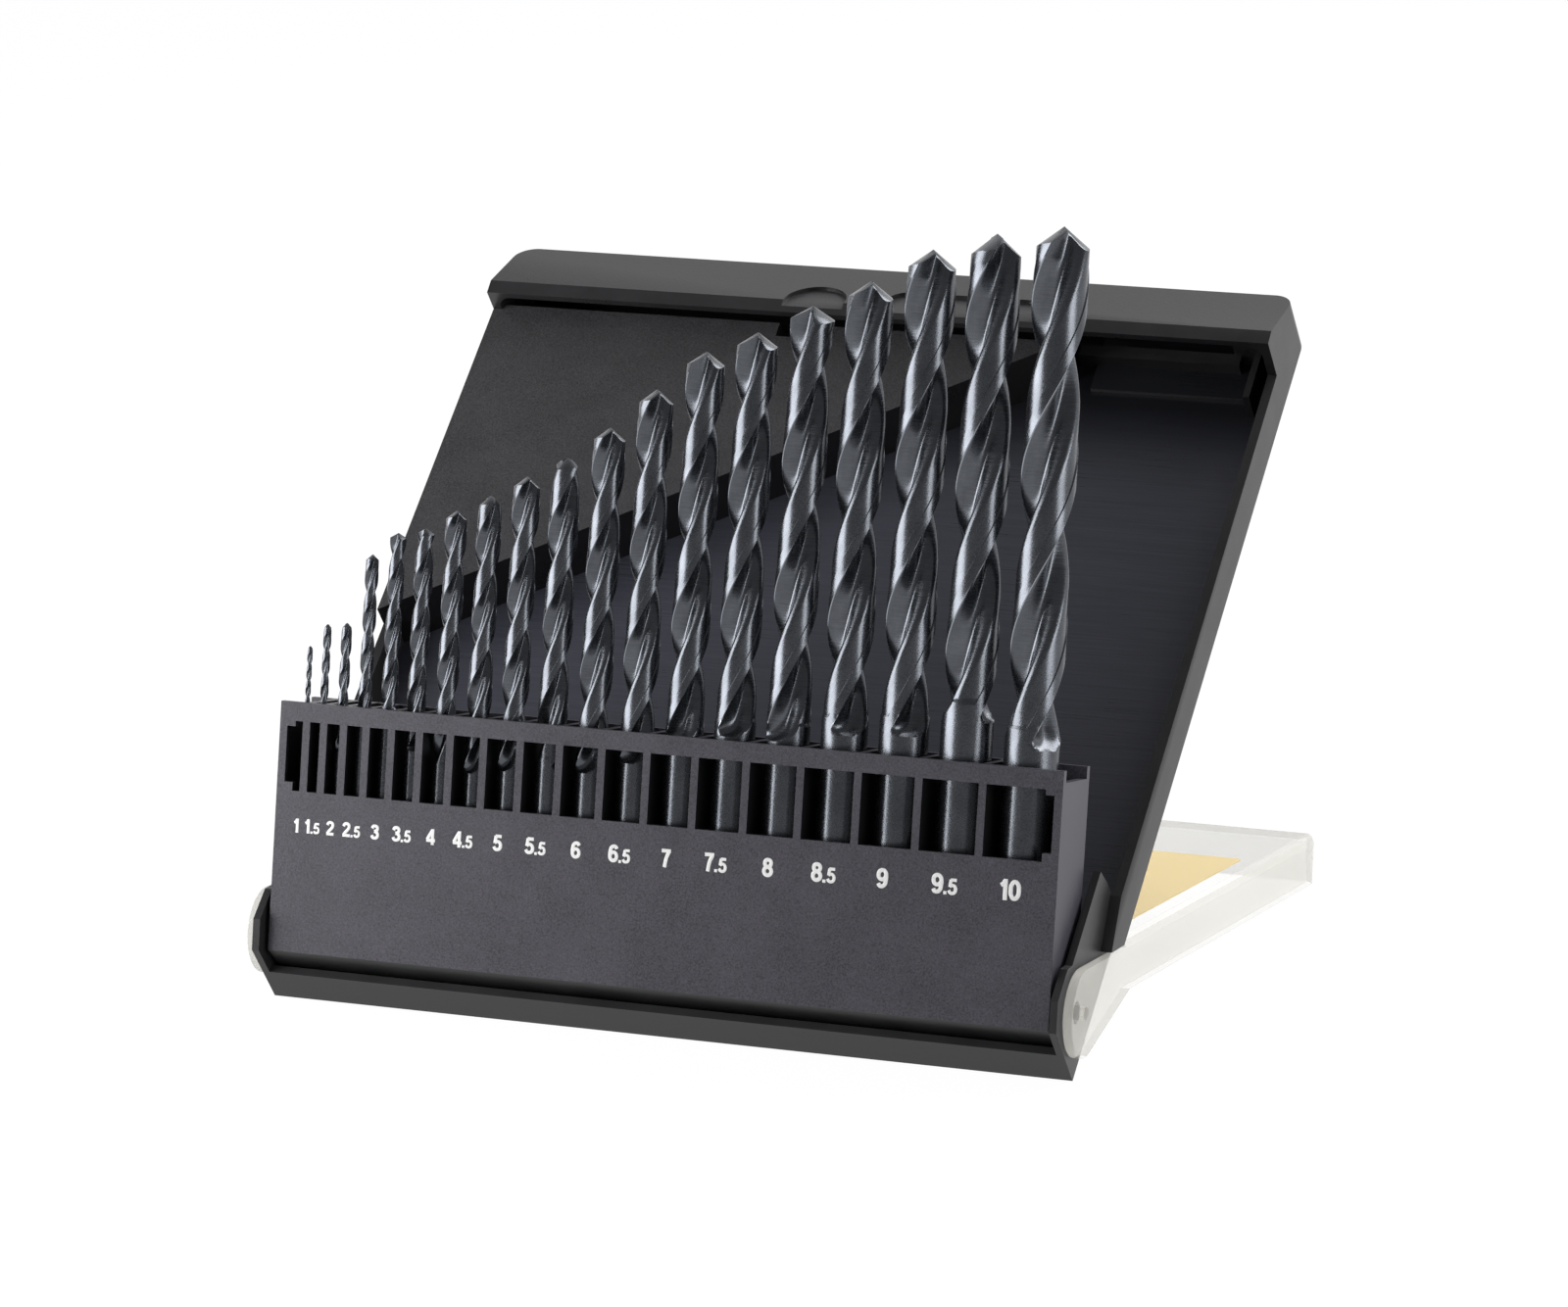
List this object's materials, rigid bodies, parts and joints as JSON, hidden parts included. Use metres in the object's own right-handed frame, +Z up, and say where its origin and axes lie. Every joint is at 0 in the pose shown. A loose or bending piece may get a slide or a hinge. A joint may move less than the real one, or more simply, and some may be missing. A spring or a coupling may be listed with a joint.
{
  "type": "drill bit case",
  "caption": "Standing drill bit case with a leaning shell, a tilting rack of graded twist drills and a clear lid that folds round as its prop.",
  "frame": {"origin": "middle of the case's footprint on the table as it stands open", "axes": "+Z up, +X to the right along the hinge as seen from the front, +Y back towards the lid's far end; the front with the rack faces -Y"},
  "size_m": [0.1608, 0.1584, 0.1498],
  "materials": {
    "shell_plastic": "black moulded plastic, satin outside and glossy in the tray",
    "rack_plastic": "black moulded plastic with a fine grain",
    "clear_plastic": "clear moulded plastic",
    "label_card": "pale yellow card, bare",
    "drill_steel": "black oxide finished steel"
  },
  "bodies": {
    "shell": {"back_shell": "shell_plastic"},
    "rack": {"bit_rack": "rack_plastic"},
    "lid": {"clear_lid": "clear_plastic", "label_card": "label_card"},
    "drill_1_0": {"drill_1_0": "drill_steel"},
    "drill_1_5": {"drill_1_5": "drill_steel"},
    "drill_2_0": {"drill_2_0": "drill_steel"},
    "drill_2_5": {"drill_2_5": "drill_steel"},
    "drill_3_0": {"drill_3_0": "drill_steel"},
    "drill_3_5": {"drill_3_5": "drill_steel"},
    "drill_4_0": {"drill_4_0": "drill_steel"},
    "drill_4_5": {"drill_4_5": "drill_steel"},
    "drill_5_0": {"drill_5_0": "drill_steel"},
    "drill_5_5": {"drill_5_5": "drill_steel"},
    "drill_6_0": {"drill_6_0": "drill_steel"},
    "drill_6_5": {"drill_6_5": "drill_steel"},
    "drill_7_0": {"drill_7_0": "drill_steel"},
    "drill_7_5": {"drill_7_5": "drill_steel"},
    "drill_8_0": {"drill_8_0": "drill_steel"},
    "drill_8_5": {"drill_8_5": "drill_steel"},
    "drill_9_0": {"drill_9_0": "drill_steel"},
    "drill_9_5": {"drill_9_5": "drill_steel"},
    "drill_10_0": {"drill_10_0": "drill_steel"}
  },
  "joints": [
    {"name": "lid_hinge", "type": "hinge", "parent": "shell", "child": "lid", "pos_m": [0, -0.06863, 0.0124], "axis": [1, 0, 0], "range_deg": [-314.85, 0]},
    {"name": "rack_tilt", "type": "hinge", "parent": "shell", "child": "rack", "pos_m": [0, -0.06863, 0.0124], "axis": [1, 0, 0], "range_deg": [-40.12, 0]},
    {"name": "lift_1_0", "type": "slide", "parent": "rack", "child": "drill_1_0", "axis": [0, 0.1668, 0.986], "range_m": [0, 0.0288]},
    {"name": "lift_1_5", "type": "slide", "parent": "rack", "child": "drill_1_5", "axis": [0, 0.1668, 0.986], "range_m": [0, 0.0305]},
    {"name": "lift_2_0", "type": "slide", "parent": "rack", "child": "drill_2_0", "axis": [0, 0.1668, 0.986], "range_m": [0, 0.039]},
    {"name": "lift_2_5", "type": "slide", "parent": "rack", "child": "drill_2_5", "axis": [0, 0.1668, 0.986], "range_m": [0, 0.034]},
    {"name": "lift_3_0", "type": "slide", "parent": "rack", "child": "drill_3_0", "axis": [0, 0.1668, 0.986], "range_m": [0, 0.0337]},
    {"name": "lift_3_5", "type": "slide", "parent": "rack", "child": "drill_3_5", "axis": [0, 0.1668, 0.986], "range_m": [0, 0.0415]},
    {"name": "lift_4_0", "type": "slide", "parent": "rack", "child": "drill_4_0", "axis": [0, 0.1668, 0.986], "range_m": [0, 0.0428]},
    {"name": "lift_4_5", "type": "slide", "parent": "rack", "child": "drill_4_5", "axis": [0, 0.1668, 0.986], "range_m": [0, 0.0446]},
    {"name": "lift_5_0", "type": "slide", "parent": "rack", "child": "drill_5_0", "axis": [0, 0.1668, 0.986], "range_m": [0, 0.0466]},
    {"name": "lift_5_5", "type": "slide", "parent": "rack", "child": "drill_5_5", "axis": [0, 0.1668, 0.986], "range_m": [0, 0.0496]},
    {"name": "lift_6_0", "type": "slide", "parent": "rack", "child": "drill_6_0", "axis": [0, 0.1668, 0.986], "range_m": [0, 0.0436]},
    {"name": "lift_6_5", "type": "slide", "parent": "rack", "child": "drill_6_5", "axis": [0, 0.1668, 0.986], "range_m": [0, 0.0441]},
    {"name": "lift_7_0", "type": "slide", "parent": "rack", "child": "drill_7_0", "axis": [0, 0.1668, 0.986], "range_m": [0, 0.0447]},
    {"name": "lift_7_5", "type": "slide", "parent": "rack", "child": "drill_7_5", "axis": [0, 0.1668, 0.986], "range_m": [0, 0.0406]},
    {"name": "lift_8_0", "type": "slide", "parent": "rack", "child": "drill_8_0", "axis": [0, 0.1668, 0.986], "range_m": [0, 0.0432]},
    {"name": "lift_8_5", "type": "slide", "parent": "rack", "child": "drill_8_5", "axis": [0, 0.1668, 0.986], "range_m": [0, 0.0381]},
    {"name": "lift_9_0", "type": "slide", "parent": "rack", "child": "drill_9_0", "axis": [0, 0.1668, 0.986], "range_m": [0, 0.0398]},
    {"name": "lift_9_5", "type": "slide", "parent": "rack", "child": "drill_9_5", "axis": [0, 0.1668, 0.986], "range_m": [0, 0.0363]},
    {"name": "lift_10_0", "type": "slide", "parent": "rack", "child": "drill_10_0", "axis": [0, 0.1668, 0.986], "range_m": [0, 0.0423]}
  ],
  "couplings": [
    {"joint": "rack_tilt", "follows": "lid_hinge", "ratio": 0.12736}
  ]
}
